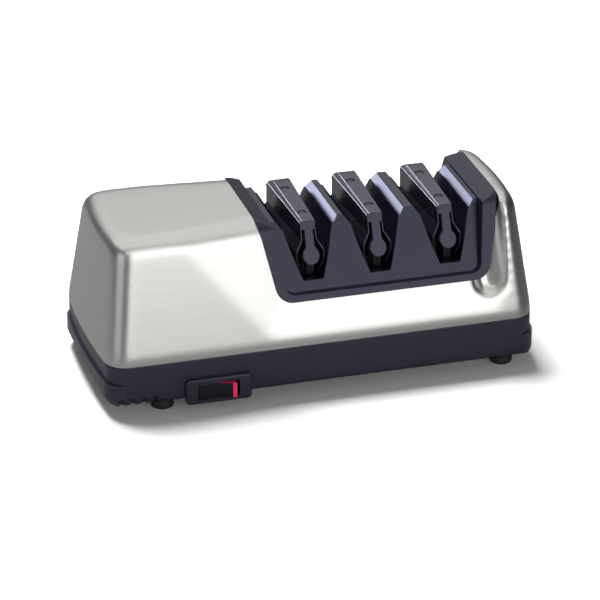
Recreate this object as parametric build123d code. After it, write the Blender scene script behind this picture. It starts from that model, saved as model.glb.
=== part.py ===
"""Electric knife sharpener with three stages, in millimetres.

X runs along the housing, with the motor end at -X and the three stages at +X.
The side that faces the user is -Y, and Z is up from the table under the feet.
The drive shaft lies along X over the middle of the base.
"""
from build123d import *
import math
import os

# ---- Overall form -------------------------------------------------------------
body_length = 254.0          # steel housing along X at its lower edge
body_depth = 109.4           # steel housing along Y at its lower edge
foot_height = 7.2            # table to underside of tray
tray_top = 20.0              # parting line of the two base mouldings
base_top = 31.0              # upper base moulding to steel housing
housing_top = 100.0
half_length = body_length / 2
half_depth = body_depth / 2
corner_radius = 11.0         # upright corners, seen from above
end_bulge = 3.0              # how far the end faces bow outward in plan
skirt_height = 3.0           # upright rim of the steel above the base
front_lean = 14.1            # housing face to its top, set back at front and rear
end_lean = 7.5               # the same at both ends
top_radius = 9.0             # rounding round the top face
steel_wall = 1.2
moulding_wall = 2.5

# ---- Form pressed into the steel at front and rear -------------------------------
# A point on the housing's face is X, Z and how deep the steel lies under the face.
apron_lean = 19.0            # the steel below the stages leans back from here up
fold_z = 39.5
fold_depth = 0.25
flank_crease = ((half_length * -0.2756, 42.9), (half_length * -0.5898, 89.7))
flank_foot = (half_length * -0.1827, 58.0, 2.65)
far_crease = ((half_length - 23.0, 40.0), (half_length - 20.0, 100.0))
far_foot = (half_length - 33.0, 56.0, 3.5)
hollow_radius = 14.0         # rounded hollow beside the last stage
hollow_low = (half_length - 24.8, 53.0, 2.2)    # its ball end and its top, with the depth under the apron
hollow_high = (half_length - 31.5, 93.6, 0.3)

# ---- Opening for the stages, seen from the front -------------------------------
opening_centre = half_length * 0.2898
opening_low = 55.0
opening_low_half = half_length * 0.4843
opening_top_half = opening_low_half + 9.5
opening_corner = 10.0
rim_low = 58.9               # inner edge of the rim, and the ledge for the insert
rim_low_half = opening_low_half - 4.3
rim_top_half = opening_top_half - 9.0
rim_corner = 6.0
rim_proud = 0.5
rim_wall = 3.0
rim_return = 1.6
rim_return_depth = 4.0
seam = 0.15                  # gap round the rim in the steel
fit_gap = 0.3                # gap between mouldings that do not touch

# ---- Slots ---------------------------------------------------------------------
stage_pitch = half_length * 0.3173
stage_places = tuple(opening_centre + shift for shift in (0.5 - stage_pitch, -0.5, stage_pitch + 0.5))
slot_floor = 64.1
slot_floor_y = half_depth - 14.2   # front edge of the slot floor, from the middle
slot_floor_half = 5.85
slot_bend_half = 11.2        # half width where the wall bows most
slot_bend_z = 79.5
slot_mouth_half = 14.7
slot_mouth_z = 92.9
divider_top = 95.3
divider_bevel = 3.6
face_lean = 0.486            # set-back of the divider faces per millimetre of rise
rail_inner_y = slot_floor_y - 3.5
ledge_height = 3.0
ledge_half = 4.0
ledge_inner_y = rail_inner_y - 11.0
relief_half = 9.2            # pocket for the disks beside each slot
divider_core_half = 8.2
divider_core_top = 88.0
divider_core_y = slot_floor_y - 18.5

# ---- Guide blocks and their springs ---------------------------------------------
guide_top = 95.3
guide_half_length = slot_floor_y - 11.6
guide_front_width = 9.6
guide_rear_width = 14.2
guide_slab = 4.7
guide_post_width = 4.8
guide_post_inner_y = guide_half_length - 3.4
bulb_diameter = 9.8
bulb_z = 77.0
bulb_reach = slot_floor_y - 4.3    # front of the bulb from the middle
guide_edge = 1.2
spring_sheet = 1.3
spring_half = 5.35           # middle of the sheet beside the post
spring_flare = 8.0           # middle of the sheet beside the bulb
spring_toe = 5.0
spring_foot_z = 65.2
spring_web_half_length = guide_half_length - 4.9
spring_reach = bulb_reach - 2.2

# ---- Drive ---------------------------------------------------------------------
shaft_z = 55.0
shaft_radius = 4.0
running_gap = 0.05
disk_radius = 20.5
disk_rim_offset = 4.6        # abrasive face from the stage plane, at the rim
disk_hub_offset = 7.9        # the same where it meets the hub
disk_thickness = 1.7
hub_radius = 7.0
hub_inner = 3.2
hub_outer = 9.2
pin_radius = 1.0
pin_length = 13.0
pin_slot_depth = 2.2
disk_wire = 0.5
disk_coil_radius = 5.6
disk_coil_turns = 2.0
bush_radius = 6.5
bush_length = 8.0

# ---- Motor ---------------------------------------------------------------------
stator_length = half_length * 0.2047
motor_room = 47.0            # middle of the motor from the end of the housing
motor_place = motor_room - half_length
stator_size = 54.0
stator_yoke = 6.5
stator_bore = 15.5
pole_width = 22.0
coil_width = 35.0
coil_overhang = 7.0
air_gap = 0.5
bracket_wall = 3.0
bracket_stand = stator_length * 0.423
bracket_proud = 3.0          # bearing boss beyond the bracket's plate
bracket_boss = 9.0
bracket_foot = 9.0
bolt_place = stator_size / 2 - 5
motor_screw_y = stator_size / 3
bolt_radius = 2.0
fan_radius = 24.0
fan_hub = 8.0
fan_width = 8.0
fan_blades = 9
fan_gap = 2.0

# ---- Base ----------------------------------------------------------------------
deck_top = 27.0
deck_wall = 2.5
base_inset = 0.4
tray_overhang = 1.0
tray_end_radius = 9.0
tray_edge_radius = 2.5
foot_radius = 6.5
foot_insets = (34.6, 19.0)   # from the two ends
foot_places = (foot_insets[0] - half_length, half_length - foot_insets[1])
foot_side_inset = 10.7
foot_y = half_depth - foot_side_inset
foot_recess = 3.0
screw_radius = 2.0
screw_clearance = 0.2
chassis_room = 21.0          # outer stages to the bearings
chassis_left = stage_places[0] - chassis_room
chassis_right = stage_places[-1] + chassis_room - 0.1
chassis_side_inset = 12.2
chassis_half = half_depth - chassis_side_inset
chassis_screw_inset = 8.0
bearing_boss = 10.0
vent_pitch = 6.3
vent_width = 2.7
vent_height = 4.2
vent_inset = 9.0
vent_first = vent_inset - half_length
vent_count = 4

# ---- Switch, lever, gland --------------------------------------------------------
switch_inset = 64.1
switch_x = switch_inset - half_length
switch_z = 11.9
switch_width = 38.0
switch_height = 15.2
switch_proud = 3.0
switch_body_width = 31.8
switch_body_depth = 10.5
rocker_width = 23.4
rocker_height = 9.2
rocker_gap = 0.25
rocker_pivot_depth = 2.7     # behind the front of the base
rocker_face = 5.9            # pivot to the face that lies flush
rocker_swing = 16.0
rocker_pin_radius = 1.0
lever_pivot_y = 22.0
lever_width = 6.0
lever_height = 3.6
lever_swing = 5.0
lever_pin_radius = 2.0
prong_offset = 7.6
prong_wall = 2.2
prong_top = 41.5
gland_inset = 43.0
gland_x = gland_inset - half_length
gland_z = 14.9
gland_bore = 2.5
gland_neck = 3.8
gland_proud = 3.0
cover_x = stage_places[1] + 1.7
cover_inset = 6.6
cover_length = 2 * stage_pitch - cover_inset
cover_width = 24.0
cover_lip = 2.5
magnet_width = 12.0
magnet_height = 4.0

plenty = 3 * body_length     # longer than anything that is cut
motor_reach = stator_length / 2 + bracket_stand + bracket_wall   # motor's middle to a bracket's outer face
fan_right = motor_place - motor_reach - bracket_proud - fan_gap
shaft_left = fan_right - fan_width + 1
shaft_right = chassis_right + bush_length - 0.5
tab_place = (half_length - 8.0, half_depth - 16.7)     # tabs that hold the steel down
tab_length = 14.0
tab_width = 12.0


def block(x0, x1, y0, y1, z0, z1):
    """Box between two corners."""
    return Pos((x0 + x1) / 2, (y0 + y1) / 2, (z0 + z1) / 2) * Box(x1 - x0, y1 - y0, z1 - z0)


def rod(radius, x0, x1, y=0.0, z=shaft_z):
    """Round bar along X."""
    return Pos((x0 + x1) / 2, y, z) * Rot(0, 90, 0) * Cylinder(radius, x1 - x0)


def peg(radius, x, y, z0, z1):
    """Round bar along Z."""
    return Pos(x, y, (z0 + z1) / 2) * Cylinder(radius, z1 - z0)


def hole(radius, x, y):
    """Cutter for an upright hole through whatever it is taken from."""
    return Pos(x, y, housing_top / 2) * Cylinder(radius, 2 * housing_top)


def plan_outline(half_x, half_y, radius):
    """Rectangle seen from above, with bowed ends and round corners."""
    shoulder = half_x - end_bulge
    outline = Polyline((-shoulder, -half_y), (shoulder, -half_y))
    outline += ThreePointArc((shoulder, -half_y), (half_x, 0), (shoulder, half_y))
    outline += Polyline((shoulder, half_y), (-shoulder, half_y))
    outline += ThreePointArc((-shoulder, half_y), (-half_x, 0), (-shoulder, -half_y))
    face = make_face(outline)
    return fillet(face.vertices(), radius)


def housing_form(inset, bottom=base_top, far_side=True):
    """Solid inside the steel's outer face, moved in by the inset."""
    top = housing_top - inset
    skirt = base_top + skirt_height
    rise = housing_top - skirt
    reach = (top - skirt) / rise
    radius = corner_radius - inset
    low = plan_outline(half_length - inset, half_depth - inset, radius)
    high = plan_outline(half_length - inset - end_lean * reach,
                        half_depth - inset - front_lean * reach, radius)
    body = extrude(Pos(0, 0, bottom) * low, skirt - bottom)
    body += loft([Pos(0, 0, skirt) * low, Pos(0, 0, top) * high])
    rim = body.edges().filter_by_position(Axis.Z, top - 0.01, top + 0.01)
    body = fillet(rim, top_radius - inset)
    front = pressed_front(inset, far_side)
    return body & front & mirror(front, Plane.XZ)


def face_point(x, z, depth=0.0):
    """Point under the housing's leaning front face."""
    skirt = base_top + skirt_height
    return Vector(x, front_lean * (z - skirt) / (housing_top - skirt) - half_depth + depth, z)


def steel_behind(first, second, third, inset):
    """Space behind the plane through three points, rounded off at the housing's top."""
    outward = (second - first).cross(third - first).normalized()
    if outward.Y > 0:
        outward = -outward
    top = housing_top - inset
    body = block(-body_length, body_length, -body_depth, plenty, -housing_top, top)
    cut = Plane(origin=first - outward * inset, z_dir=outward) * Rectangle(plenty, plenty)
    body -= extrude(cut, body_depth)
    edge = body.edges().filter_by_position(Axis.Z, top - 0.01, top + 0.01).sort_by(Axis.Y)[0]
    return fillet(edge, top_radius - inset)


def pressed_front(inset, far_side):
    """What the press leaves at the front: apron, flank and, on the far side, flank and hollow."""
    tilt = math.tan(math.radians(apron_lean))
    fold = face_point(0, fold_z, fold_depth)
    apron = (fold, fold + Vector(50, 0, 0), fold + Vector(0, 30 * tilt, 30))
    flank = [face_point(*spot) for spot in flank_crease] + [face_point(*flank_foot)]
    far = [face_point(*spot) for spot in far_crease] + [face_point(*far_foot)]
    kept = steel_behind(*apron, inset) + steel_behind(*flank, inset)
    if not far_side:
        return kept
    kept += steel_behind(*far, inset)
    outward = Vector(0, -1, tilt).normalized()
    ends = []
    for x, z, depth in (hollow_low, hollow_high):
        foot = fold + Vector(x, (z - fold_z) * tilt, z - fold_z)
        ends.append(foot + outward * (hollow_radius - depth))
    along = Plane(origin=ends[0], z_dir=(ends[1] - ends[0]).normalized())
    kept -= Pos(*ends[0]) * Sphere(hollow_radius + inset)
    return kept - extrude(along * Circle(hollow_radius + inset), body_depth)


def front_trapezoid(low, low_half, top_half, radius, shrink=0.0, floor_shrink=None):
    """Prism along Y, wider at the top, with two round lower corners."""
    slope = (top_half - low_half) / (housing_top - low)
    bottom = low + (shrink if floor_shrink is None else floor_shrink)
    half = low_half + slope * (bottom - low) - shrink * math.hypot(1, slope)
    top = 1.2 * housing_top
    wide = half + slope * (top - bottom)
    left, right = opening_centre - half, opening_centre + half
    face = Plane.XZ * Polygon((left, bottom), (right, bottom), (opening_centre + wide, top),
                              (opening_centre - wide, top), align=None)
    corners = face.vertices().filter_by_position(Axis.Z, bottom - 0.01, bottom + 0.01)
    return extrude(fillet(corners, radius - shrink), body_depth, both=True)


def opening_prism(shrink=0.0):
    return front_trapezoid(opening_low, opening_low_half, opening_top_half, opening_corner, shrink)


def rim_prism(shrink=0.0, floor_shrink=None):
    return front_trapezoid(rim_low, rim_low_half, rim_top_half, rim_corner, shrink, floor_shrink)


def insert_profile(inset=0.0):
    """Prism along X under the leaning front and rear faces of the dividers."""
    low_z, top_z = base_top, divider_top - inset
    low_y = slot_floor_y - inset + face_lean * (slot_floor - low_z)
    top_y = slot_floor_y - inset + face_lean * (slot_floor - top_z)
    face = Plane.YZ * Polygon((-low_y, low_z), (low_y, low_z), (top_y, top_z), (-top_y, top_z), align=None)
    return extrude(face, body_length, both=True)


def slot_prism(place):
    """Knife slot: narrow floor, bowed walls and a bevelled mouth."""
    over = divider_top + 5
    mouth = slot_mouth_half + divider_bevel
    side = Polyline((mouth, over), (mouth, divider_top), (slot_mouth_half, slot_mouth_z))
    side += ThreePointArc((slot_mouth_half, slot_mouth_z), (slot_bend_half, slot_bend_z),
                          (slot_floor_half, slot_floor))
    outline = side + Line((slot_floor_half, slot_floor), (-slot_floor_half, slot_floor))
    outline += mirror(side, Plane.YZ) + Line((-mouth, over), (mouth, over))
    face = Plane.XZ * make_face(outline)
    return Pos(place, 0, 0) * extrude(face, body_depth, both=True)


# ---- Housing --------------------------------------------------------------------
def housing_shell():
    shell = housing_form(0) - housing_form(steel_wall, base_top - 5)
    return shell - opening_prism()


def bracket_places():
    return [(x * tab_place[0], y * tab_place[1]) for x in (-1, 1) for y in (-1, 1)]


def shell_brackets():
    """Angle tabs welded inside the steel, by which the base holds it."""
    tabs = []
    for x, y in bracket_places():
        side = math.copysign(1, x)
        edge = side * (half_length - steel_wall)
        half = tab_width / 2
        tab = block(*sorted((edge, edge - side * tab_length)), y - half, y + half, base_top, base_top + 1.5)
        upright = block(*sorted((edge, edge - side * 3)), y - half, y + half, base_top, base_top + half)
        inside = housing_form(steel_wall + 0.01, base_top)
        tabs.append(((tab + upright) & inside) - hole(screw_radius - 0.3, x, y))
    return Compound(tabs)


def shell_screws():
    return Compound([screw(x, y, deck_top - deck_wall, base_top + 4, screw_radius - 0.5)
                     for x, y in bracket_places()])


def slot_bezel():
    """Dark rim set into the steel, with an inner return that the insert sits on."""
    outer = housing_form(-rim_proud, far_side=False)
    band = (outer - housing_form(rim_wall, far_side=False)) & (opening_prism(seam) - rim_prism())
    walls = (rim_prism(-rim_return) - rim_prism()) & outer
    return band + (walls - insert_profile(rim_return_depth))


def slot_insert():
    """One moulding with both rails, both end walls and the two hollow dividers."""
    body = insert_profile() & rim_prism(fit_gap, 0.0)
    left = stage_places[0] - slot_floor_half - 9
    right = stage_places[-1] + slot_floor_half + 9
    body -= block(left, right, -rail_inner_y, rail_inner_y, 0, slot_floor)
    for place in stage_places:
        body -= slot_prism(place)
        body -= rod(disk_radius + 1.5, place - relief_half, place + relief_half)
        for side in (-1, 1):
            near, far = sorted((side * ledge_inner_y, side * (rail_inner_y + 1)))
            ledge = block(place - ledge_half, place + ledge_half, near, far, rim_low, rim_low + ledge_height)
            body += ledge - hole(screw_radius - 0.4, place, side * (ledge_inner_y + 5))
    for low, high in zip(stage_places, stage_places[1:]):
        middle = (low + high) / 2
        core = Plane.XZ * Polygon((middle - divider_core_half, 0), (middle + divider_core_half, 0),
                                  (middle + divider_core_half, slot_floor),
                                  (middle + 1.2, divider_core_top), (middle - 1.2, divider_core_top),
                                  (middle - divider_core_half, slot_floor), align=None)
        body -= extrude(core, divider_core_y, both=True)
    return body - rod(shaft_radius + 2, -half_length, half_length)


# ---- Guide blocks -----------------------------------------------------------------
def guide_envelope(inset=0.0):
    """Side view of a guide block: flat top, leaning ends and a nose at each bulb."""
    reach = guide_half_length - inset
    nose = bulb_reach - inset
    ends = [(reach, guide_top), (reach + 1.3, guide_top - guide_slab), (nose - 1.3, bulb_z + 3.2),
            (nose, bulb_z - 0.5), (nose - 1.2, bulb_z - 5.0), (nose - 2.4, rim_low)]
    mirrored = [(-y, z) for y, z in reversed(ends)]
    return extrude(Plane.YZ * Polygon(*(mirrored + ends), align=None), 20, both=True)


def guide_block(place):
    """Centre block of a stage: top slab, two posts and a bulb at either end."""
    low = guide_top - guide_slab
    front, rear = guide_front_width / 2, guide_rear_width / 2
    end = guide_half_length + 1.3
    slab = extrude(Pos(0, 0, low) * Polygon((-front, -end), (front, -end), (rear, end), (-rear, end),
                                            align=None), guide_slab)
    slab = chamfer(slab.edges().filter_by_position(Axis.Z, guide_top - 0.01, guide_top + 0.01), guide_edge)
    foot = rim_low + ledge_height
    body = slab
    for side in (-1, 1):
        near, far = sorted((side * guide_post_inner_y, side * (bulb_reach + 5)))
        post = block(-guide_post_width / 2, guide_post_width / 2, near, far, bulb_z, low)
        stem = block(-guide_post_width / 2 + 0.4, guide_post_width / 2 - 0.4, near, far, foot, bulb_z)
        middle = (near + far) / 2
        bulb = Pos(0, middle, bulb_z) * Rot(90, 0, 0) * Cylinder(bulb_diameter / 2, far - near)
        body += (post + stem + bulb)
    body = body & guide_envelope()
    for side in (-1, 1):
        body -= peg(screw_radius - 0.5, 0, side * (ledge_inner_y + 5), foot, foot + 8)
    return Pos(place, 0, 0) * body


def guide_spring(place):
    """Folded spring sheet: a web under the slab and two flared legs."""
    top = guide_top - guide_slab
    half = spring_sheet / 2
    line = [(spring_half, top), (spring_half, top - 5.5), (spring_flare, bulb_z + 1.0),
            (spring_flare - 0.3, bulb_z - 5.0), (spring_toe, spring_foot_z)]
    outline = [(x - half, z) for x, z in line] + [(x + half, z) for x, z in reversed(line)]
    face = Plane.XZ * Polygon(*outline, align=None)
    bends = face.vertices().filter_by_position(Axis.Z, spring_foot_z + 1, top - 1)
    leg = extrude(fillet(bends, 2.0), spring_reach, both=True) & guide_envelope(1.5)
    leg -= rod(disk_radius + 2, -20, 20)
    web = block(-spring_half - half, spring_half + half, -spring_web_half_length, spring_web_half_length,
                top - spring_sheet, top)
    return Pos(place, 0, 0) * (leg + mirror(leg, Plane.YZ) + web)


def screw(x, y, head_z, tip_z, radius):
    """Pan-head screw that points up, with its head under the given face."""
    return peg(radius * 1.9, x, y, head_z - radius * 1.1, head_z) + peg(radius, x, y, head_z, tip_z)


def guide_screws():
    places = [(place, side * (ledge_inner_y + 5)) for place in stage_places for side in (-1, 1)]
    tip = rim_low + ledge_height + 6
    return Compound([screw(x, y, rim_low, tip, screw_radius - 0.6) for x, y in places])


# ---- Drive train -------------------------------------------------------------------
def pin_places():
    """Where the cross pins stand: just outside the bottom of each hub's slot."""
    offset = hub_outer - pin_slot_depth + pin_radius + 0.03
    return [place + side * offset for place in stage_places for side in (-1, 1)]


def drive_shaft():
    shaft = rod(shaft_radius, shaft_left, shaft_right)
    shaft = chamfer(shaft.edges(), 0.6)
    for x in pin_places():
        shaft -= peg(pin_radius, x, 0, shaft_z - 10, shaft_z + 10)
    return shaft


def drive_pins():
    half = pin_length / 2
    return Compound([peg(pin_radius, x, 0, shaft_z - half, shaft_z + half) for x in pin_places()])


def abrasive_disk(place, side):
    """Conical disk on a slotted hub, dished away from the middle of its stage."""
    bore = shaft_radius + running_gap
    rim, root = disk_rim_offset, disk_hub_offset
    outline = Polygon((hub_inner, bore), (hub_outer, bore), (hub_outer, hub_radius),
                      (root + 0.1, hub_radius), (root, hub_radius + 1), (rim, disk_radius),
                      (rim - disk_thickness, disk_radius),
                      (root - disk_thickness, hub_radius + 1), (root - disk_thickness - 0.6, hub_radius),
                      (hub_inner, hub_radius), align=None)
    body = revolve(Plane.XZ * outline, Axis.X)
    slot = pin_radius + 0.15
    body -= block(hub_outer - pin_slot_depth, hub_outer + 1, -slot, slot, -hub_radius - 1, hub_radius + 1)
    if side < 0:
        body = mirror(body, Plane.YZ)
    return Pos(place, 0, shaft_z) * body


def disk_spring(place):
    """Open coil of six-sided wire that pushes the two disks of a stage apart."""
    free = 2 * (hub_inner - disk_wire - 0.02)
    path = Helix(free / disk_coil_turns, free, disk_coil_radius)
    coil = sweep(Plane(path @ 0, z_dir=path % 0) * RegularPolygon(disk_wire, 6), path, is_frenet=True)
    return Pos(place - free / 2, 0, shaft_z) * Rot(0, 90, 0) * coil


def bush(x0, x1):
    return rod(bush_radius, x0, x1) - rod(shaft_radius + running_gap, x0 - 1, x1 + 1)


def stage_bushes():
    return Compound([bush(chassis_left - bush_length, chassis_left),
                     bush(chassis_right, chassis_right + bush_length)])


# ---- Motor ---------------------------------------------------------------------------
def motor_corners():
    return [(y, shaft_z + z) for y in (-bolt_place, bolt_place) for z in (-bolt_place, bolt_place)]


def stator_core():
    """Square laminated ring with a pole above and a pole below the rotor."""
    outer, inner = stator_size, stator_size - 2 * stator_yoke
    core = fillet(Box(stator_length, outer, outer).edges().filter_by(Axis.X), 3)
    window = Box(stator_length + 2, inner, inner) - Box(stator_length + 2, pole_width, inner)
    core = Pos(motor_place, 0, shaft_z) * (core - window)
    core -= rod(stator_bore, -plenty, plenty)
    for y, z in motor_corners():
        core -= rod(bolt_radius + screw_clearance, -plenty, plenty, y, z)
    return core


def stator_coils():
    """One winding round each pole."""
    low = stator_bore + 0.8
    high = stator_size / 2 - stator_yoke - 0.2
    winding = Box(stator_length + 2 * coil_overhang, coil_width, high - low)
    winding = fillet(winding.edges().filter_by(Axis.Z), 5)
    winding -= Box(stator_length + 0.4, pole_width + 0.4, 40)
    middle = (low + high) / 2
    return Compound([Pos(motor_place, 0, shaft_z + side * middle) * winding for side in (-1, 1)])


def rotor_core():
    radius = stator_bore - air_gap
    left, right = motor_place - stator_length / 2, motor_place + stator_length / 2
    body = rod(radius, left, right) + rod(radius - 3, left - 3, right + 3)
    return body - rod(shaft_radius, left - 5, right + 5)


def motor_bracket(side):
    """End frame: a plate on four stand-off tubes, with a bearing boss and a foot."""
    face = motor_place + side * stator_length / 2
    inner = face + side * bracket_stand
    outer = inner + side * bracket_wall
    low, high = sorted((inner, outer))
    half = stator_size / 2
    plate = block(low, high, -half, half, deck_top, shaft_z + half)
    plate = fillet(plate.edges().filter_by(Axis.X).sort_by(Axis.Z)[-2:], 6)
    body = plate + rod(bracket_boss, *sorted((inner - side * 1, outer + side * bracket_proud)))
    foot_end = outer + side * bracket_foot
    body += block(*sorted((inner, foot_end)), -half, half, deck_top, deck_top + 2)
    for y, z in motor_corners():
        body += rod(4.2, *sorted((face, outer)), y, z)
    for y, z in motor_corners():
        body -= rod(bolt_radius + screw_clearance, -plenty, plenty, y, z)
    for x, y in motor_screw_places(side):
        body -= hole(screw_radius - 0.5, x, y)
    return body - rod(bush_radius, -plenty, plenty)


def motor_bush_span(side):
    outer = motor_place + side * motor_reach
    return sorted((outer + side * bracket_proud, outer + side * (bracket_proud - bush_length)))


def motor_bushes():
    return Compound([bush(*motor_bush_span(side)) for side in (-1, 1)])


def motor_bolts():
    """Through bolts with their nuts, which clamp both brackets to the stator."""
    bolts = []
    for y, z in motor_corners():
        left, right = motor_place - motor_reach, motor_place + motor_reach
        bolts.append(rod(bolt_radius, left - 4, right, y, z) + rod(3.6, right, right + 2.6, y, z)
                     + rod(3.4, left - 2.6, left, y, z))
    return Compound(bolts)


def motor_screw_places(side):
    x = motor_place + side * (motor_reach + bracket_foot / 2 + 1)
    return [(x, y) for y in (-motor_screw_y, motor_screw_y)]


def motor_screws():
    places = motor_screw_places(-1) + motor_screw_places(1)
    return Compound([screw(x, y, deck_top - deck_wall, deck_top + 5, screw_radius - 0.5) for x, y in places])


def cooling_fan():
    """Radial fan: a hub, a back plate and straight blades."""
    right = fan_right
    left = right - fan_width
    body = rod(fan_hub, left, right) + rod(fan_radius, right - 1.2, right)
    for index in range(fan_blades):
        blade = Pos((left + right) / 2, 0, 0) * block(-fan_width / 2, fan_width / 2, -0.6, 0.6, fan_hub - 1,
                                                      fan_radius - 0.5)
        body += Pos(0, 0, shaft_z) * Rot(index * 360 / fan_blades, 0, 0) * blade
    return body - rod(shaft_radius, left - 1, right + 1)


# ---- Base ----------------------------------------------------------------------------
def foot_spots():
    return [(x, side * foot_y) for x in foot_places for side in (-1, 1)]


def chassis_spots():
    inset = chassis_screw_inset
    return [(x, side * (chassis_half - inset)) for x in (chassis_left + inset, chassis_right - inset)
            for side in (-1, 1)]


def lever_opening():
    """Space that the lever's tab sweeps through the rear walls."""
    reach = half_depth - lever_pivot_y
    half = lever_width / 2 + reach * math.tan(math.radians(lever_swing)) + 0.6
    place = stage_places[-1]
    return block(place - half, place + half, chassis_half - 6, half_depth + 5,
                 deck_top, deck_top + lever_height + 0.8)


def base_frame():
    """Upper base moulding: a wall all round, a deck for the works and screw bosses."""
    outer = plan_outline(half_length - base_inset, half_depth - base_inset, corner_radius)
    hollow = plan_outline(half_length - base_inset - moulding_wall, half_depth - base_inset - moulding_wall,
                          corner_radius - moulding_wall)
    body = extrude(Pos(0, 0, tray_top) * outer, base_top - tray_top)
    body -= extrude(Pos(0, 0, tray_top - 1) * hollow, 20)
    body += extrude(Pos(0, 0, deck_top - deck_wall) * hollow, deck_wall)
    for x, y in bracket_places():
        body += peg(4.5, x, y, deck_top, base_top)
        body -= hole(screw_radius - 0.5, x, y)
    for x, y in foot_spots():
        body += peg(4.5, x, y, deck_top, base_top)
        body -= peg(screw_radius, x, y, 0, base_top - 1.5)
    for x, y in chassis_spots() + motor_screw_places(-1) + motor_screw_places(1):
        body -= hole(screw_radius - 0.5, x, y)
    body -= block(stage_places[0] - 8, stage_places[-1] + 8, -18, 18, 0, 40)
    body -= peg(lever_pin_radius, stage_places[-1], lever_pivot_y, 0, 40)
    for index in range(5):
        x = motor_place - 16 + index * 8
        body -= block(x - 2, x + 2, -22, 22, 0, 40)
    return body - lever_opening()


def base_tray():
    """Lower base moulding: an open pan with rounded ends, vents and screw pillars."""
    def pan(inset, floor):
        plan = plan_outline(half_length + tray_overhang - inset, half_depth - inset, corner_radius - inset)
        side = Plane.XZ * Rectangle(body_length + 2 * (tray_overhang - inset), 2 * (tray_top - floor))
        end = Plane.YZ * Rectangle(body_depth - 2 * inset, 2 * (tray_top - floor))
        lift = Pos(0, 0, tray_top)
        long = lift * extrude(fillet(side.vertices(), tray_end_radius - inset), body_depth, both=True)
        wide = lift * extrude(fillet(end.vertices(), tray_edge_radius - inset * 0.6), body_length, both=True)
        return extrude(Pos(0, 0, floor) * plan, tray_top - floor) & long & wide

    floor_top = foot_height + moulding_wall
    body = pan(0, foot_height) - pan(moulding_wall, floor_top)
    for x, y in foot_spots():
        body += peg(4.5, x, y, floor_top - 1, deck_top - deck_wall)
        body -= hole(screw_radius + screw_clearance, x, y)
    for index in range(vent_count):
        x = vent_first + index * vent_pitch
        across = block(x - vent_width / 2, x + vent_width / 2, -half_depth - 5, half_depth + 5,
                       0, foot_height + vent_height)
        body -= across - block(x - 5, x + 5, -half_depth + 7, half_depth - 7, 0, tray_top)
    for index in range(5):
        x = motor_place - 16 + index * 8
        body -= block(x - 1.5, x + 1.5, -20, 20, 0, 15)
    half = switch_body_width / 2
    body -= block(switch_x - half, switch_x + half, -half_depth - 5, -half_depth + switch_body_depth, 0,
                  switch_z + switch_height / 2 - 1.4)
    body -= gland_hole()
    length, width = cover_length / 2 - cover_lip, cover_width / 2 - cover_lip
    body -= block(cover_x - length, cover_x + length, -width, width, 0, 15)
    return body


def base_feet():
    """Rubber feet: a flared pad, with a recess under it for its screw."""
    top = foot_height
    bore = screw_radius + screw_clearance
    outline = Polygon((bore, foot_recess), (4.2, foot_recess), (4.2, 0), (foot_radius - 0.8, 0),
                      (foot_radius, 0.8), (foot_radius, 3.6), (foot_radius - 1.3, 5.0),
                      (foot_radius - 1.5, top), (bore, top), align=None)
    foot = revolve(Plane.XZ * outline, Axis.Z)
    return Compound([Pos(x, y, 0) * foot for x, y in foot_spots()])


def foot_screws():
    return Compound([screw(x, y, foot_recess, base_top - 2, screw_radius) for x, y in foot_spots()])


def stage_chassis():
    """Open frame under the stages, with the two bearings of the drive shaft."""
    top = rim_low - rim_return
    body = block(chassis_left, chassis_right, -chassis_half, chassis_half, deck_top, top)
    inner = chassis_half - moulding_wall
    body -= block(chassis_left + moulding_wall, chassis_right - moulding_wall, -inner, inner, 0, 90)
    left_boss = rod(bearing_boss, chassis_left - bush_length, chassis_left + moulding_wall)
    right_boss = rod(bearing_boss, chassis_right - moulding_wall, chassis_right + bush_length)
    gusset = block(chassis_left - bush_length, chassis_left, -2, 2, deck_top, shaft_z)
    gusset += block(chassis_right, chassis_right + bush_length, -2, 2, deck_top, shaft_z)
    body += left_boss + right_boss + gusset
    body -= rod(bush_radius, chassis_left - 20, chassis_left)
    body -= rod(bush_radius, chassis_right, chassis_right + 20)
    body -= rod(shaft_radius + 1.5, -plenty, plenty)
    for x, y in chassis_spots():
        side = math.copysign(1, y)
        body += block(x - 4.5, x + 4.5, *sorted((y - side * 4.5, side * inner)), deck_top, deck_top + 14)
        body -= peg(screw_radius - 0.5, x, y, 0, deck_top + 12)
    return body - lever_opening()


def chassis_screws():
    return Compound([screw(x, y, deck_top - deck_wall, deck_top + 10, screw_radius - 0.5)
                     for x, y in chassis_spots()])


def cleanout_cover():
    """Plate under the tray that closes the filings hatch."""
    half = cover_width / 2
    length, width = cover_length / 2 - cover_lip - 0.2, half - cover_lip - 0.2
    plate = block(cover_x - cover_length / 2, cover_x + cover_length / 2, -half, half,
                  foot_height - 1.6, foot_height)
    plate = fillet(plate.edges().filter_by(Axis.Z), 4)
    return plate + block(cover_x - length, cover_x + length, -width, width, foot_height,
                         foot_height + moulding_wall)


def filings_magnet():
    low = foot_height + moulding_wall
    length, width = cover_length / 2 - 9, magnet_width / 2
    return block(cover_x - length, cover_x + length, -width, width, low, low + magnet_height)


# ---- Switch --------------------------------------------------------------------------
def rocker_axis():
    return switch_x, -half_depth + rocker_pivot_depth


def rocker_raised(x, y):
    """A corner of the flush half, carried to the half that stands out when off."""
    swing = math.radians(rocker_swing)
    return (x * math.cos(swing) + y * math.sin(swing), -x * math.sin(swing) + y * math.cos(swing))


def front_reach():
    """How far the raised end of the rocker stands from the middle of the base."""
    return -(rocker_axis()[1] + rocker_raised(rocker_width / 2, -rocker_face)[1])


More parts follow.
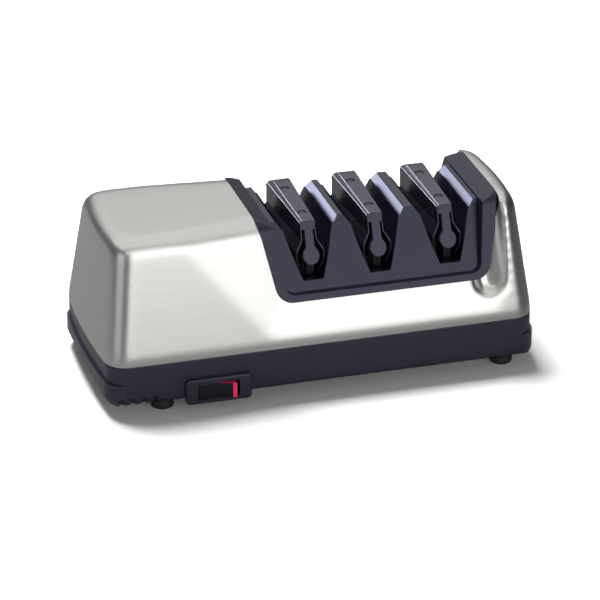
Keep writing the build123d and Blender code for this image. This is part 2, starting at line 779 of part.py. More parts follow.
def switch_housing():
    """Raised bezel and body of the switch, with a pocket for the rocker."""
    front = -half_depth - switch_proud
    plate = Box(switch_width, switch_proud, switch_height)
    plate = Pos(switch_x, front + switch_proud / 2, switch_z) * plate
    plate = fillet(plate.edges().filter_by(Axis.Y), 2.5)
    plate = fillet(plate.faces().sort_by(Axis.Y)[0].edges(), 1.0)
    half = switch_body_width / 2 - 0.1
    body = block(switch_x - half, switch_x + half, -half_depth - 0.5, -half_depth + switch_body_depth,
                 switch_z - switch_height / 2 + 1.4, switch_z + switch_height / 2 - 1.5)
    x, y = rocker_axis()
    pocket = rocker_width / 2 + 0.3
    high = rocker_height / 2 + rocker_gap
    body = plate + body
    body -= block(x - pocket, x + pocket, front - 1, y + 5.5, switch_z - high, switch_z + high)
    return body - peg(rocker_pin_radius, x, y, switch_z - switch_height / 2 + 2.2, 40)


def switch_rocker():
    """Rocker in its off position: the left half flush, the right half raised."""
    half = rocker_width / 2
    face_end = rocker_raised(half, -rocker_face)
    back_end = rocker_raised(half - 0.7, -3.0)
    vertex = face_end[0] + (rocker_face + face_end[1]) / math.tan(math.radians(rocker_swing))
    outline = Polygon((-half, -rocker_face), (vertex, -rocker_face), face_end, back_end,
                      (3.0, 1.0), (-3.0, 1.0), (-half + 0.7, -3.0), align=None)
    body = extrude(outline, rocker_height / 2, both=True) + Cylinder(3.4, rocker_height)
    body -= Cylinder(rocker_pin_radius + running_gap, rocker_height + 2)
    x, y = rocker_axis()
    return Pos(x, y, switch_z) * body


def rocker_pin():
    x, y = rocker_axis()
    low, high = switch_z - switch_height / 2 + 2.2, switch_z + switch_height / 2 - 1.5
    return peg(rocker_pin_radius, x, y, low, high)


def switch_terminals():
    rear = -half_depth + switch_body_depth
    return Compound([block(switch_x + offset - 0.4, switch_x + offset + 0.4, rear, rear + 7, switch_z - 1,
                           switch_z + 4) for offset in (-8.0, 0.0, 8.0)])


# ---- Dressing lever ---------------------------------------------------------------------
def dressing_lever():
    """Rear lever whose two prongs reach the outer faces of the last pair of disks."""
    low = deck_top + 0.3
    high = low + lever_height
    half = lever_width / 2
    tab = front_reach() - lever_pivot_y
    bar = block(-half, half, -13, tab, low, high) + peg(6, 0, 0, low, high)
    span = prong_offset + prong_wall
    bar += block(-span, span, -13, -9, low, high)
    for side in (-1, 1):
        bar += block(*sorted((side * prong_offset, side * span)), -13, -9, low, prong_top)
    bar -= peg(lever_pin_radius + running_gap, 0, 0, 0, 60)
    return Pos(stage_places[-1], lever_pivot_y, 0) * bar


def lever_pin():
    x, y = stage_places[-1], lever_pivot_y
    top = deck_top + 0.3 + lever_height + 0.3
    return peg(lever_pin_radius, x, y, deck_top - deck_wall, top) + peg(3.2, x, y, top, top + 1.2)


# ---- Cord gland ---------------------------------------------------------------------------
def gland_hole():
    return Pos(gland_x, half_depth - 2, gland_z) * Rot(90, 0, 0) * Cylinder(gland_neck, 12)


def cord_gland():
    """Rear bush for a supply cord: outer collar, neck through the wall, inner collar."""
    collar, lip = gland_neck + 1.2, gland_neck + 0.8
    inner = -moulding_wall
    outline = Polygon((gland_bore, inner - 2), (lip, inner - 2), (lip, inner), (gland_neck, inner),
                      (gland_neck, 0), (collar, 0), (gland_bore + 1.4, gland_proud),
                      (gland_bore, gland_proud), align=None)
    gland = revolve(Plane.XZ * outline, Axis.Z)
    return Pos(gland_x, half_depth, gland_z) * Rot(-90, 0, 0) * gland


def build():
    """Every node of the sharpener by name."""
    nodes = {
        "housing_shell": housing_shell(),
        "shell_brackets": shell_brackets(),
        "shell_screws": shell_screws(),
        "slot_bezel": slot_bezel(),
        "slot_insert": slot_insert(),
        "guide_screws": guide_screws(),
        "drive_shaft": drive_shaft(),
        "drive_pins": drive_pins(),
        "stage_bushes": stage_bushes(),
        "stator_core": stator_core(),
        "stator_coils": stator_coils(),
        "rotor_core": rotor_core(),
        "motor_bracket_left": motor_bracket(-1),
        "motor_bracket_right": motor_bracket(1),
        "motor_bushes": motor_bushes(),
        "motor_bolts": motor_bolts(),
        "motor_screws": motor_screws(),
        "cooling_fan": cooling_fan(),
        "base_frame": base_frame(),
        "base_tray": base_tray(),
        "base_feet": base_feet(),
        "foot_screws": foot_screws(),
        "stage_chassis": stage_chassis(),
        "chassis_screws": chassis_screws(),
        "cleanout_cover": cleanout_cover(),
        "filings_magnet": filings_magnet(),
        "switch_housing": switch_housing(),
        "switch_rocker": switch_rocker(),
        "rocker_pin": rocker_pin(),
        "switch_terminals": switch_terminals(),
        "dressing_lever": dressing_lever(),
        "lever_pin": lever_pin(),
        "cord_gland": cord_gland(),
    }
    for number, place in enumerate(stage_places, 1):
        nodes[f"guide_block_{number}"] = guide_block(place)
        nodes[f"guide_spring_{number}"] = guide_spring(place)
        nodes[f"disk_spring_{number}"] = disk_spring(place)
        nodes[f"disk_{number}_left"] = abrasive_disk(place, -1)
        nodes[f"disk_{number}_right"] = abrasive_disk(place, 1)
    return nodes


os.makedirs("parts", exist_ok=True)
for name, shape in build().items():
    export_step(shape, f"parts/{name}.step")
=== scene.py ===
import math

import bmesh
import bpy
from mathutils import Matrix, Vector


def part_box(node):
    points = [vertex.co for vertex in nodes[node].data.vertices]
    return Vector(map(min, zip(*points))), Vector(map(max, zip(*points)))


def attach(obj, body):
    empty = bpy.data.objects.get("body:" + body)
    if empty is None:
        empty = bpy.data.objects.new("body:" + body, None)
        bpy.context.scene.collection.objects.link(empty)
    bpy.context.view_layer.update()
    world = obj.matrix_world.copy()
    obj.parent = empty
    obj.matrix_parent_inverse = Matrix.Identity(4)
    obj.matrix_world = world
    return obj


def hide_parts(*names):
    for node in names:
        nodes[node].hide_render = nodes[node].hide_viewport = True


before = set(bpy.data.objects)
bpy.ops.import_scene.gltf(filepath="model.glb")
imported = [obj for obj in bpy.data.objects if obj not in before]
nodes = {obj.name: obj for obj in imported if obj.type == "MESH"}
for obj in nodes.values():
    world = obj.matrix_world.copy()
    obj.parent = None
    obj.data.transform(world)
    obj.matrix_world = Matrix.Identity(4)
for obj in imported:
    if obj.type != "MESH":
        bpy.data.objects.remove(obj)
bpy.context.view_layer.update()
bpy.ops.object.select_all(action="DESELECT")
print("frame loaded:", len(nodes), "nodes")


# camera, floor and light
viewFrom = {
    "place": (-0.53179, -1.81573, 0.93187),
    "lookAt": (0.00089, 0.0, 0.03255),
    "lens": 219.15,
    "sensor": 36.0,
    "farClip": 20,
}


def aim(thing, place, target):
    thing.location = place
    thing.rotation_euler = (Vector(target) - Vector(place)).to_track_quat("-Z", "Y").to_euler()


def addCamera():
    data = bpy.data.cameras.new("studioCamera")
    data.lens = viewFrom["lens"]
    data.sensor_width = viewFrom["sensor"]
    data.clip_end = viewFrom["farClip"]
    camera = bpy.data.objects.new("studioCamera", data)
    bpy.context.collection.objects.link(camera)
    aim(camera, viewFrom["place"], viewFrom["lookAt"])
    bpy.context.scene.camera = camera


studio = {
    "white": (1.0, 1.0, 1.0, 1),
    "floorSize": 8.0,
    "floorColour": (0.9, 0.9, 0.9, 1),
    "floorRoughness": 0.9,
    "floorSpecular": 0.1,
    "floorGlow": 0.04,
    "floorInGloss": (0.2, 0.09),     # what shiny pieces see of it, at the left and at the right
    "glossFade": (0.08, 0.3),        # X between which that changes
    "worldStrength": (0.145, 0.03),  # from most sides, and from the right
    "worldFade": (0.3, 0.8),
    # place, target, width, height, watts
    "panels": {
        "frontPanel": ((0.42, -1.6, 0.42), (0.0, 0.0, 0.05), 1.7, 1.0, 9.2),
        "topPanel": ((0.0, 0.9, 1.7), (0.0, 0.7, 0.0), 4.0, 4.5, 42.0),
        "bridgePanel": ((0.2, -1.6, 1.32), (0.0, 0.0, 0.1), 3.0, 0.75, 6.2),
        "keyPanel": ((-0.2, 0.75, 1.9), (0.0, 0.0, 0.05), 0.6, 0.6, 66.0),
        "backPanel": ((0.45, 1.5, 0.55), (0.0, 0.0, 0.05), 1.4, 0.7, 0.6),
        "rimPanel": ((-0.8, 1.5, 0.36), (0.0, 0.0, 0.08), 0.5, 0.4, 5.5),
        "stripPanel": ((-0.05, 1.5, 0.92), (0.0, 0.0, 0.08), 0.25, 0.15, 2.4),
        "edgePanel": ((-0.95, 1.5, 0.3), (0.0, 0.0, 0.08), 0.5, 0.3, 9.0),
        "leftPanel": ((-1.4, -0.9, 0.3), (0.0, 0.0, 0.05), 1.0, 0.7, 1.45),
    },
    "rimColour": (0.78, 0.8, 1.0),
    "notInGloss": ("keyPanel",),                   # shiny surfaces don't mirror it
    "onlyInGloss": ("topPanel", "bridgePanel"),    # they are mirrored and light nothing else
}


def feed(tree, source, socket):
    # the source is another node's output or a plain value
    if isinstance(source, bpy.types.NodeSocket):
        tree.links.new(source, socket)
    else:
        socket.default_value = source


def fadeAlongX(tree, coordinates, between, values):
    # goes from the first value to the second as X goes through the stretch between
    where = tree.nodes.new("ShaderNodeTexCoord")
    split = tree.nodes.new("ShaderNodeSeparateXYZ")
    fade = tree.nodes.new("ShaderNodeMapRange")
    fade.inputs["From Min"].default_value, fade.inputs["From Max"].default_value = between
    fade.inputs["To Min"].default_value, fade.inputs["To Max"].default_value = values
    tree.links.new(where.outputs[coordinates], split.inputs["Vector"])
    tree.links.new(split.outputs["X"], fade.inputs["Value"])
    return fade.outputs["Result"]


def chooseByRay(tree, ray, usual, other, surface):
    # rays of the named kind meet the other shader
    path = tree.nodes.new("ShaderNodeLightPath")
    choice = tree.nodes.new("ShaderNodeMixShader")
    tree.links.new(path.outputs[ray], choice.inputs["Fac"])
    tree.links.new(usual, choice.inputs[1])
    tree.links.new(other, choice.inputs[2])
    tree.links.new(choice.outputs["Shader"], surface)


def paintFloor():
    paint = bpy.data.materials.new("paleFloor")
    paint.use_nodes = True
    tree = paint.node_tree
    shader = tree.nodes["Principled BSDF"]
    feed(tree, studio["floorColour"], shader.inputs["Base Color"])
    feed(tree, studio["floorRoughness"], shader.inputs["Roughness"])
    feed(tree, studio["floorSpecular"], shader.inputs["Specular IOR Level"])
    feed(tree, studio["white"], shader.inputs["Emission Color"])
    feed(tree, studio["floorGlow"], shader.inputs["Emission Strength"])
    dim = tree.nodes.new("ShaderNodeBsdfDiffuse")
    feed(tree, fadeAlongX(tree, "Object", studio["glossFade"], studio["floorInGloss"]),
         dim.inputs["Color"])
    chooseByRay(tree, "Is Glossy Ray", shader.outputs["BSDF"], dim.outputs["BSDF"],
                tree.nodes["Material Output"].inputs["Surface"])
    return paint


def addFloor():
    bpy.ops.mesh.primitive_plane_add(size=studio["floorSize"], location=(0, 0, 0))
    floor = bpy.context.object
    floor.name = "floor"
    floor.select_set(False)
    floor.data.materials.append(paintFloor())


def addWorld():
    world = bpy.data.worlds.new("studio")
    bpy.context.scene.world = world
    world.use_nodes = True
    tree = world.node_tree
    sky = tree.nodes["Background"]
    backdrop = tree.nodes.new("ShaderNodeBackground")
    for shader in (sky, backdrop):
        feed(tree, studio["white"], shader.inputs["Color"])
    feed(tree, fadeAlongX(tree, "Generated", studio["worldFade"], studio["worldStrength"]),
         sky.inputs["Strength"])
    chooseByRay(tree, "Is Camera Ray", sky.outputs["Background"], backdrop.outputs["Background"],
                tree.nodes["World Output"].inputs["Surface"])


def addPanels():
    for name, (place, target, width, height, watts) in studio["panels"].items():
        data = bpy.data.lights.new(name, "AREA")
        data.shape = "RECTANGLE"
        data.size = width
        data.size_y = height
        data.energy = watts
        panel = bpy.data.objects.new(name, data)
        bpy.context.collection.objects.link(panel)
        aim(panel, place, target)
        panel.visible_camera = False
        panel.visible_glossy = name not in studio["notInGloss"]
        panel.visible_diffuse = name not in studio["onlyInGloss"]
    bpy.data.lights["rimPanel"].color = studio["rimColour"]


addCamera()
addFloor()
addWorld()
addPanels()
bpy.context.scene.view_settings.view_transform = "Standard"
print("camera, floor and light set")


# shared surface effects
pattern = {
    "scratches": ((0.012, 1, 1), (1, 0.012, 1)),     # stretched along X, and along Y
    "turnWidth": 0.003,          # over which they turn from X to Y
    "scratchDetail": 3.0,
    "broadShorter": 2.5,         # broad scratches are stretched this much less
    "broadScale": 160.0,
    "broadDetail": 2.0,
    "broadShare": 0.35,
    "scratchBump": 0.0002,
    "grainDetail": 2.0,
    "grainBump": 0.0001,
    "patchScale": 45.0,
    "patchDetail": 3.0,
}


def newGroup(name, inputs, outputs):
    group = bpy.data.node_groups.new(name, "ShaderNodeTree")
    for label, value in inputs.items():
        kind = "NodeSocketFloat" if isinstance(value, float) else "NodeSocketColor"
        socket = group.interface.new_socket(name=label, in_out="INPUT", socket_type=kind)
        socket.default_value = value
    for label, kind in outputs.items():
        group.interface.new_socket(name=label, in_out="OUTPUT", socket_type=kind)
    return group, group.nodes.new("NodeGroupInput"), group.nodes.new("NodeGroupOutput")


def stretchedNoise(group, source, stretch, scale, detail):
    mapping = group.nodes.new("ShaderNodeMapping")
    noise = group.nodes.new("ShaderNodeTexNoise")
    feed(group, source, mapping.inputs["Vector"])
    feed(group, stretch, mapping.inputs["Scale"])
    feed(group, mapping.outputs["Vector"], noise.inputs["Vector"])
    feed(group, scale, noise.inputs["Scale"])
    feed(group, detail, noise.inputs["Detail"])
    return noise.outputs["Fac"]


def addMath(group, operation, *sources):
    node = group.nodes.new("ShaderNodeMath")
    node.operation = operation
    for index, source in enumerate(sources):
        feed(group, source, node.inputs[index])
    return node.outputs["Value"]


def addMix(tree, kind, factor, first, second):
    mix = tree.nodes.new("ShaderNodeMix")
    mix.data_type = kind
    feed(tree, factor, mix.inputs["Factor"])
    feed(tree, first, mix.inputs["A"])
    feed(tree, second, mix.inputs["B"])
    return mix.outputs["Result"]


def addRelief(group, start, end, gloss, height, distance):
    # one pattern spreads the roughness and another gives the bump
    bump = group.nodes.new("ShaderNodeBump")
    feed(group, distance, bump.inputs["Distance"])
    feed(group, start.outputs["Depth"], bump.inputs["Strength"])
    feed(group, height, bump.inputs["Height"])
    rough = addMath(group, "MULTIPLY_ADD", gloss, start.outputs["Spread"],
                    start.outputs["Roughness"])
    feed(group, rough, end.inputs["Roughness"])
    feed(group, bump.outputs["Normal"], end.inputs["Normal"])


def makeBrushLines():
    # long scratches along X, of two widths
    group, start, end = newGroup(
        "brushLines",
        {"Scale": 900.0, "Depth": 0.12, "Roughness": 0.3, "Spread": 0.12, "Ends At": 10.0},
        {"Line": "NodeSocketFloat", "Roughness": "NodeSocketFloat", "Normal": "NodeSocketVector"})
    place = group.nodes.new("ShaderNodeTexCoord").outputs["Object"]
    # past "Ends At" the scratches run along Y instead, as on a part's end faces
    split = group.nodes.new("ShaderNodeSeparateXYZ")
    feed(group, place, split.inputs["Vector"])
    past = addMath(group, "SUBTRACT", addMath(group, "ABSOLUTE", split.outputs["X"]),
                   start.outputs["Ends At"])
    turn = group.nodes.new("ShaderNodeMapRange")
    feed(group, pattern["turnWidth"], turn.inputs["From Max"])
    feed(group, past, turn.inputs["Value"])
    fine, broad = [], []
    for stretch in pattern["scratches"]:
        shorter = [min(1, pattern["broadShorter"] * share) for share in stretch]
        fine.append(stretchedNoise(group, place, stretch, start.outputs["Scale"],
                                   pattern["scratchDetail"]))
        broad.append(stretchedNoise(group, place, shorter, pattern["broadScale"],
                                    pattern["broadDetail"]))
    turned = [addMix(group, "FLOAT", turn.outputs["Result"], along, across)
              for along, across in (fine, broad)]
    line = addMix(group, "FLOAT", pattern["broadShare"], *turned)
    feed(group, line, end.inputs["Line"])
    addRelief(group, start, end, line, line, pattern["scratchBump"])
    return group


def makeGrain():
    # fine moulded or cast grain, with soft patches of gloss
    group, start, end = newGroup(
        "surfaceGrain",
        {"Scale": 2500.0, "Depth": 0.1, "Roughness": 0.4, "Spread": 0.08,
         "Colour": (0.02, 0.02, 0.03, 1), "Patch Colour": (0.03, 0.03, 0.04, 1)},
        {"Colour": "NodeSocketColor", "Roughness": "NodeSocketFloat", "Normal": "NodeSocketVector"})
    place = group.nodes.new("ShaderNodeTexCoord").outputs["Object"]
    grain = stretchedNoise(group, place, (1, 1, 1), start.outputs["Scale"], pattern["grainDetail"])
    patch = stretchedNoise(group, place, (1, 1, 1), pattern["patchScale"], pattern["patchDetail"])
    tint = addMix(group, "RGBA", patch, start.outputs["Colour"], start.outputs["Patch Colour"])
    feed(group, tint, end.inputs["Colour"])
    addRelief(group, start, end, patch, grain, pattern["grainBump"])
    return group


effects = {"brushLines": makeBrushLines(), "surfaceGrain": makeGrain()}
print("shared effects made")


# finishes
brushedShades = (0.9, 1.08)      # a scratch's darkest and brightest, as shares of the colour
brushed = {
    "housingSteel": {"colour": (0.68, 0.68, 0.66), "Roughness": 0.23, "Spread": 0.14,
                     "Depth": 0.09, "Scale": 900.0, "Ends At": 0.1165},
    "groundSteel": {"colour": (0.6, 0.6, 0.6), "Roughness": 0.2, "Spread": 0.1,
                    "Depth": 0.05, "Scale": 1400.0},
    "lamination": {"colour": (0.22, 0.22, 0.24), "Roughness": 0.45, "Spread": 0.2,
                   "Depth": 0.2, "Scale": 600.0},
    "bracketMetal": {"colour": (0.5, 0.5, 0.5), "Roughness": 0.4, "Spread": 0.15,
                     "Depth": 0.1, "Scale": 500.0},
    "zincScrew": {"colour": (0.55, 0.56, 0.58), "Roughness": 0.35, "Spread": 0.1,
                  "Depth": 0.1, "Scale": 900.0},
    "bronze": {"colour": (0.45, 0.27, 0.1), "Roughness": 0.35, "Spread": 0.2,
               "Depth": 0.1, "Scale": 900.0},
    "copper": {"colour": (0.55, 0.2, 0.08), "Roughness": 0.3, "Spread": 0.2,
               "Depth": 0.4, "Scale": 700.0},
}
moulded = {
    "basePlastic": {"Colour": (0.017, 0.017, 0.031, 1), "Patch Colour": (0.022, 0.022, 0.037, 1),
                    "Roughness": 0.28, "Spread": 0.08, "Depth": 0.12, "Scale": 2200.0,
                    "tint": (0.78, 0.8, 1.0, 1)},
    "modulePlastic": {"Colour": (0.005, 0.005, 0.012, 1), "Patch Colour": (0.008, 0.007, 0.016, 1),
                      "Roughness": 0.2, "Spread": 0.06, "Depth": 0.04, "Scale": 2200.0,
                      "tint": (0.74, 0.76, 1.0, 1)},
    "guidePlastic": {"Colour": (0.015, 0.015, 0.025, 1), "Patch Colour": (0.02, 0.02, 0.032, 1),
                     "Roughness": 0.17, "Spread": 0.05, "Depth": 0.03, "Scale": 2200.0,
                     "tint": (0.76, 0.78, 1.0, 1)},
    # near-black: the rocker's own black, and painted shade on the guide posts' stems under the
    # bulbs
    "blackAndPaintedShade": {"Colour": (0.004, 0.004, 0.007, 1), "Patch Colour": (0.006, 0.006, 0.009, 1),
                 "Roughness": 0.25, "Spread": 0.06, "Depth": 0.08, "Scale": 2200.0,
                 "tint": (0.8, 0.82, 1.0, 1)},
    "innerPlastic": {"Colour": (0.02, 0.02, 0.022, 1), "Patch Colour": (0.03, 0.03, 0.032, 1),
                     "Roughness": 0.5, "Spread": 0.1, "Depth": 0.2, "Scale": 1800.0},
    "springPolymer": {"Colour": (0.006, 0.006, 0.01, 1), "Patch Colour": (0.01, 0.01, 0.015, 1),
                      "Roughness": 0.22, "Spread": 0.08, "Depth": 0.1, "Scale": 2200.0,
                      "tint": (0.8, 0.82, 1.0, 1)},
    "redPlastic": {"Colour": (0.8, 0.006, 0.1, 1), "Patch Colour": (0.86, 0.008, 0.12, 1),
                   "Roughness": 0.3, "Spread": 0.08, "Depth": 0.1, "Scale": 2200.0},
    "footRubber": {"Colour": (0.01, 0.01, 0.011, 1), "Patch Colour": (0.018, 0.018, 0.018, 1),
                   "Roughness": 0.6, "Spread": 0.15, "Depth": 0.3, "Scale": 1500.0},
    "diamondDisk": {"Colour": (0.42, 0.42, 0.4, 1), "Patch Colour": (0.5, 0.5, 0.48, 1),
                    "Roughness": 0.42, "Spread": 0.15, "Depth": 0.5, "Scale": 5000.0,
                    "metallic": 0.9},
    "stropDisk": {"Colour": (0.3, 0.3, 0.33, 1), "Patch Colour": (0.38, 0.38, 0.4, 1),
                  "Roughness": 0.5, "Spread": 0.15, "Depth": 0.35, "Scale": 4000.0},
}


def newFinish(name, effect, values):
    # a material with one shared effect, which gets those of the values that it has inputs for
    finish = bpy.data.materials.new(name)
    finish.use_nodes = True
    tree = finish.node_tree
    shader = tree.nodes["Principled BSDF"]
    node = tree.nodes.new("ShaderNodeGroup")
    node.node_tree = effects[effect]
    for label, value in values.items():
        if label in node.inputs:
            feed(tree, value, node.inputs[label])
    for label in ("Roughness", "Normal"):
        feed(tree, node.outputs[label], shader.inputs[label])
    return finish, tree, shader, node


def makeBrushed(name, values):
    finish, tree, shader, lines = newFinish(name, "brushLines", values)
    dark, bright = [[min(1, part * share) for part in values["colour"]] + [1]
                    for share in brushedShades]
    feed(tree, 1.0, shader.inputs["Metallic"])
    feed(tree, addMix(tree, "RGBA", lines.outputs["Line"], dark, bright),
         shader.inputs["Base Color"])
    return finish


def makeMoulded(name, values):
    finish, tree, shader, grain = newFinish(name, "surfaceGrain", values)
    feed(tree, values.get("metallic", 0.0), shader.inputs["Metallic"])
    feed(tree, values.get("tint", (1, 1, 1, 1)), shader.inputs["Specular Tint"])
    feed(tree, grain.outputs["Colour"], shader.inputs["Base Color"])
    return finish


finishes = {name: makeBrushed(name, values) for name, values in brushed.items()}
finishes.update({name: makeMoulded(name, values) for name, values in moulded.items()})

slotFinish = {
    "brushed_steel": "housingSteel", "module_plastic": "modulePlastic",
    "base_plastic": "basePlastic", "spring_polymer": "springPolymer",
    "red_plastic": "redPlastic", "inner_plastic": "innerPlastic", "zinc_screw": "zincScrew",
    "ground_steel": "groundSteel", "diamond_disk": "diamondDisk", "strop_disk": "stropDisk",
    "bronze": "bronze", "lamination": "lamination", "copper": "copper",
    "bracket_metal": "bracketMetal", "foot_rubber": "footRubber",
}


def dressNodes():
    for name, node in nodes.items():
        for spot in node.material_slots:
            key = spot.material.name.split(".")[0]
            if key not in slotFinish:
                print("no finish for", name, key)
                continue
            spot.material = finishes[slotFinish[key]]


dressNodes()
print("finishes on every CAD node")


# modelling helpers
near = 1e-4                      # places closer than this count as one
facing = 0.9                     # a face looks up if its normal has more than this along Z
hardAngle = 30                   # edges that turn by more degrees are softened
shadeAngle = 40                  # edges that turn by more degrees are drawn sharp
flatWeight = 100                 # makes the large faces rule the shading
mergeWithin = 1e-6
flatWithin = 0.6                 # faces that turn by fewer degrees are joined


def selectNone():
    bpy.ops.object.select_all(action="DESELECT")


def activate(piece):
    selectNone()
    piece.select_set(True)
    bpy.context.view_layer.objects.active = piece


def applyPlace():
    bpy.ops.object.transform_apply(location=True, rotation=True, scale=True)


def addBlock(name, low, high):
    selectNone()
    bpy.ops.mesh.primitive_cube_add(size=1, location=[(a + b) / 2 for a, b in zip(low, high)])
    piece = bpy.context.object
    piece.name = name
    piece.scale = [b - a for a, b in zip(low, high)]
    applyPlace()
    return piece


def ownCopy(piece, name):
    twin = bpy.data.objects.new(name, piece.data.copy())
    bpy.context.collection.objects.link(twin)
    return twin


def pick(piece, kind, test):
    # selects verts, edges or faces for which the test holds; edit mode is left on
    activate(piece)
    bpy.ops.object.mode_set(mode="EDIT")
    bpy.ops.mesh.select_mode(type=kind)
    bpy.ops.mesh.select_all(action="DESELECT")
    mesh = bmesh.from_edit_mesh(piece.data)
    rows = {"VERT": mesh.verts, "EDGE": mesh.edges, "FACE": mesh.faces}[kind]
    for row in rows:
        row.select_set(bool(test(row)))
    mesh.select_flush_mode()
    bmesh.update_edit_mesh(piece.data)


def pickAll(piece, kind):
    pick(piece, kind, lambda row: True)


def done():
    bpy.ops.object.mode_set(mode="OBJECT")


def moveVerts(piece, test, step):
    pick(piece, "VERT", test)
    bpy.ops.transform.translate(value=step)
    done()


def scaleVerts(piece, test, scale, centre):
    pick(piece, "VERT", test)
    bpy.ops.transform.resize(value=scale, center_override=centre)
    done()


def bevelEdges(piece, test, width, segments, **more):
    pick(piece, "EDGE", test)
    bpy.ops.mesh.bevel(offset=width, segments=segments, affect="EDGES", **more)
    done()


def span(edge, axis):
    return abs(edge.verts[0].co[axis] - edge.verts[1].co[axis])


def lowest(edge):
    return min(vert.co.z for vert in edge.verts)


def highest(edge):
    return max(vert.co.z for vert in edge.verts)


def isHard(edge, degrees):
    return len(edge.link_faces) == 2 and edge.calc_face_angle(0) > math.radians(degrees)


def useModifier(piece, kind, **values):
    activate(piece)
    modifier = piece.modifiers.new(kind.lower(), kind)
    for label, value in values.items():
        setattr(modifier, label, value)
    bpy.ops.object.modifier_apply(modifier=modifier.name)


def cutAway(piece, tool, how="DIFFERENCE"):
    useModifier(piece, "BOOLEAN", object=tool, operation=how, solver="EXACT")
    bpy.data.objects.remove(tool)


def joinOn(piece, other):
    cutAway(piece, other, "UNION")


def bisect(piece, place, outward, fill=True):
    # keeps what lies behind the plane
    pickAll(piece, "VERT")
    bpy.ops.mesh.bisect(plane_co=place, plane_no=outward, clear_outer=True, use_fill=fill)
    done()


def mergeFlats(piece):
    pickAll(piece, "VERT")
    bpy.ops.mesh.remove_doubles(threshold=mergeWithin)
    bpy.ops.mesh.dissolve_limited(angle_limit=math.radians(flatWithin))
    done()


def mirrorToRear(piece):
    activate(piece)
    bpy.ops.transform.mirror(constraint_axis=(False, True, False), center_override=(0, 0, 0))
    applyPlace()
    pickAll(piece, "FACE")
    bpy.ops.mesh.normals_make_consistent(inside=False)
    done()


def smoothShade(piece, degrees):
    activate(piece)
    bpy.ops.object.shade_smooth_by_angle(angle=math.radians(degrees))


def evenShade(piece, degrees=shadeAngle):
    # keeps the flats flat beside the rounded edges
    smoothShade(piece, degrees)
    useModifier(piece, "WEIGHTED_NORMAL", weight=flatWeight, keep_sharp=True)


def softenEdges(piece, width, segments=2):
    useModifier(piece, "BEVEL", width=width, segments=segments, limit_method="ANGLE",
                angle_limit=math.radians(hardAngle), miter_outer="MITER_ARC")
    evenShade(piece)


def softCopy(name, nodeName):
    # a merged copy of a CAD node, ready for softer edges
    piece = ownCopy(nodes[nodeName], name)
    mergeFlats(piece)
    return piece


def finishPiece(piece, body, node, finish):
    piece.data.materials.clear()
    piece.data.materials.append(finishes[finish])
    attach(piece, body)
    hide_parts(node)


# steel housing
steel = {
    "halfLength": 0.124,         # before the ends are bowed
    "halfDepth": 0.0547,
    "bow": 0.003,
    "bottom": 0.031,
    "spare": 0.012,              # made below the bottom and cut off again
    "skirt": 0.034,              # height at which the walls begin to lean
    "top": 0.100,
    "corner": 0.011,
    "endLean": 0.0075,
    "frontLean": 0.0141,
    "topRound": 0.0078,
    "segments": 8,               # across each rounded edge
    "endCuts": 11,               # across each bowed end
    "wall": 0.0012,
    "voxel": 0.00136,
    "softening": 0.5,
    "softPasses": 26,
    "shadeAngle": 35,
    # plane of the front round the slots: a place on it and its outward direction
    "apron": ((0, -0.053275, 0.0395), (0, -0.9455, 0.3256)),
    # three points of the planes beside it, at the left and at the right: X, Z and depth
    "flank": ((-0.035, 0.0429, 0.0), (-0.0749, 0.0897, 0.0), (-0.0232, 0.058, 0.00265)),
    "farSide": ((0.104, 0.040, 0.0), (0.107, 0.100, 0.0), (0.094, 0.056, 0.0035)),
}
hollow = {
    "radius": 0.011,
    "segments": 64,
    "rings": 32,
    "length": 0.12,              # more than enough to come out at the top
    "turn": 25.0,                # how far its flat floor is turned to the left, in degrees
    "axis": ((0.0985, 0.0541, 0.0052), (0.0966, 0.0936, 0.0040)),    # X, Z and depth
}
opening = {
    "middle": 0.0368,
    "low": 0.055,
    "halfLow": 0.0615,
    "halfTop": 0.071,            # at the height of the steel's top
    "corner": 0.0081,
    "toolTop": 0.12,
    "toolDepth": 0.08,
}


def facePoint(x, z, depth):
    # under the leaning front face
    lean = steel["frontLean"] * (z - steel["skirt"]) / (steel["top"] - steel["skirt"])
    return Vector((x, lean - steel["halfDepth"] + depth, z))


def planeThrough(points):
    first, second, third = [facePoint(*point) for point in points]
    outward = (second - first).cross(third - first).normalized()
    return first, outward if outward.y < 0 else -outward


